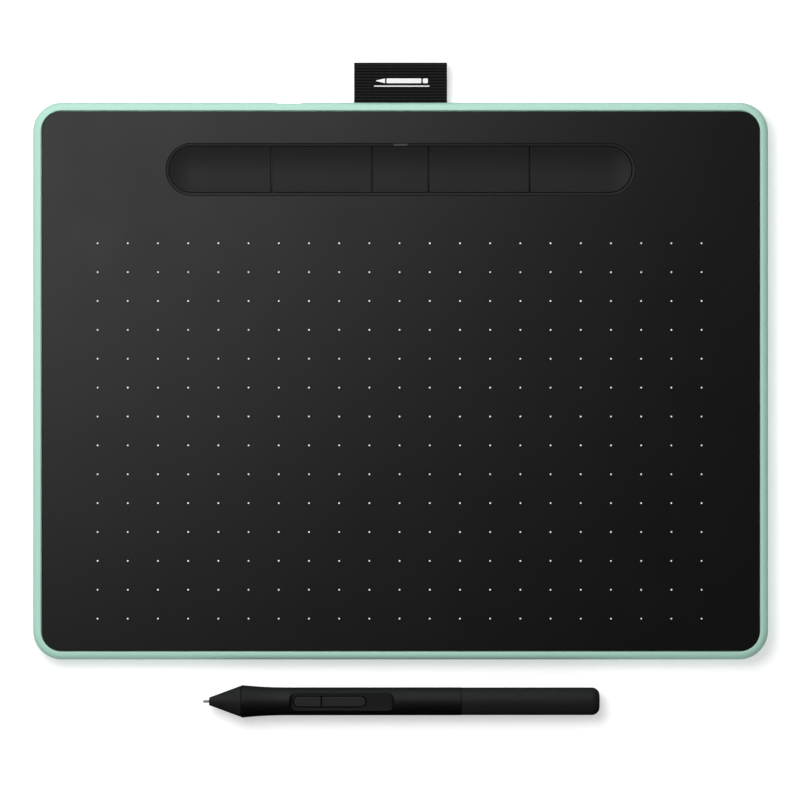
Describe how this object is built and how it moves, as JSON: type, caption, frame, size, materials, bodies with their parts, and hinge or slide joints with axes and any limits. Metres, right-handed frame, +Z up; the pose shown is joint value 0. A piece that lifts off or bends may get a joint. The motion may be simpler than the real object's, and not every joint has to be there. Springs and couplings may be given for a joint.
{
  "type": "pen drawing tablet",
  "caption": "Flat pen drawing tablet with a dotted work surface, pill-shaped key channel, elastic pen loop at the rear edge and a two-switch pen laid in front",
  "frame": {"origin": "the middle of the tablet's casing, on the plane that its four feet stand on, 0.7 mm under the casing's flat underside", "axes": "+X to the user's right along the casing, +Y to the rear edge with the key channel and pen loop, +Z up out of the work surface"},
  "size_m": [0.264, 0.2354, 0.0117],
  "materials": {
    "casing": "satin moulded plastic in a pale mint green",
    "panel": "fine-grained matte black plastic",
    "keys": "smooth semi-matte black plastic",
    "light_window": "frosted clear plastic",
    "foot_rubber": "soft matte black rubber",
    "steel": "plain plated steel",
    "circuit_board": "green solder resist on glass-epoxy board",
    "component": "black moulded chip and connector plastic",
    "tinned_shell": "bright tinned sheet",
    "cell": "silver laminate pouch",
    "wire": "soft insulated wire",
    "tape": "thin adhesive film",
    "shield": "thin soft metal sheet",
    "ribbon": "amber film ribbon",
    "webbing": "ribbed woven elastic tape, black",
    "inner_plastic": "grey moulded plastic",
    "grip": "smooth black plastic with a soft gloss",
    "pen_matte": "matte black plastic",
    "nib_plastic": "grey wear-resistant plastic",
    "ferrite": "dark grey ferrite",
    "copper": "enamelled copper winding"
  },
  "bodies": {
    "tablet": {"bottom_case": "casing", "support_grid": "inner_plastic", "top_panel": "panel", "case_screws": "steel", "key_bezel": "keys", "led_light_pipe": "light_window", "key_carrier": "inner_plastic", "main_board": "circuit_board", "board_screws": "steel", "key_switches": "component", "board_chips": "component", "shield_can": "tinned_shell", "status_led": "light_window", "antenna": "ferrite", "board_connectors": "component", "usb_shell": "tinned_shell", "usb_tongue": "component", "battery_tape": "tape", "battery": "cell", "battery_lead": "wire", "sensor_adhesive": "tape", "sensor_board": "circuit_board", "shield_plate": "shield", "sensor_flex": "ribbon", "pen_loop_tail": "webbing", "loop_clamp": "inner_plastic", "loop_screws": "steel", "foot_front_left": "foot_rubber", "foot_front_right": "foot_rubber", "foot_rear_left": "foot_rubber", "foot_rear_right": "foot_rubber"},
    "first_key": {"key_1": "keys"},
    "second_key": {"key_2": "keys"},
    "power_button": {"power_key": "keys"},
    "third_key": {"key_3": "keys"},
    "fourth_key": {"key_4": "keys"},
    "loop": {"pen_loop": "webbing"},
    "pen_nib": {"nib": "nib_plastic"},
    "pen_switch_front": {"switch_front": "pen_matte"},
    "pen_switch_rear": {"switch_rear": "pen_matte"},
    "pen_cap": {"rear_barrel": "pen_matte"},
    "pen": {"nib_cone": "pen_matte", "front_barrel": "grip", "pen_domes": "component", "pen_board": "circuit_board", "ferrite_core": "ferrite", "pen_coil": "copper", "pressure_cartridge": "inner_plastic", "pen_cradle": "inner_plastic", "nib_caddy": "inner_plastic", "spare_nibs": "nib_plastic"}
  },
  "joints": [
    {"name": "key_1_press", "type": "slide", "parent": "tablet", "child": "first_key", "axis": [0, 0, -1], "range_m": [0, 0.00035], "stiffness_N_per_m": 3000},
    {"name": "key_2_press", "type": "slide", "parent": "tablet", "child": "second_key", "axis": [0, 0, -1], "range_m": [0, 0.00035], "stiffness_N_per_m": 3000},
    {"name": "power_key_press", "type": "slide", "parent": "tablet", "child": "power_button", "axis": [0, 0, -1], "range_m": [0, 0.00035], "stiffness_N_per_m": 3000},
    {"name": "key_3_press", "type": "slide", "parent": "tablet", "child": "third_key", "axis": [0, 0, -1], "range_m": [0, 0.00035], "stiffness_N_per_m": 3000},
    {"name": "key_4_press", "type": "slide", "parent": "tablet", "child": "fourth_key", "axis": [0, 0, -1], "range_m": [0, 0.00035], "stiffness_N_per_m": 3000},
    {"name": "loop_flex", "type": "hinge", "parent": "tablet", "child": "loop", "pos_m": [0, 0.1015, 0.0044], "axis": [1, 0, 0], "range_deg": [-8, 70], "stiffness_Nm_per_rad": 0.004, "springref_deg": 1.15},
    {"name": "pen_lift", "type": "slide", "parent": "tablet", "child": "pen", "axis": [0, 0, 1], "range_m": [0, 0.12]},
    {"name": "nib_press", "type": "slide", "parent": "pen", "child": "pen_nib", "axis": [1, 0, -0.0071], "range_m": [0, 0.0003], "stiffness_N_per_m": 8000},
    {"name": "switch_front_press", "type": "slide", "parent": "pen", "child": "pen_switch_front", "axis": [-0.0071, 0, -1], "range_m": [0, 0.00025], "stiffness_N_per_m": 4000},
    {"name": "switch_rear_press", "type": "slide", "parent": "pen", "child": "pen_switch_rear", "axis": [-0.0071, 0, -1], "range_m": [0, 0.00025], "stiffness_N_per_m": 4000},
    {"name": "cap_pull", "type": "slide", "parent": "pen", "child": "pen_cap", "axis": [1, 0, -0.0071], "range_m": [0, 0.06]}
  ]
}
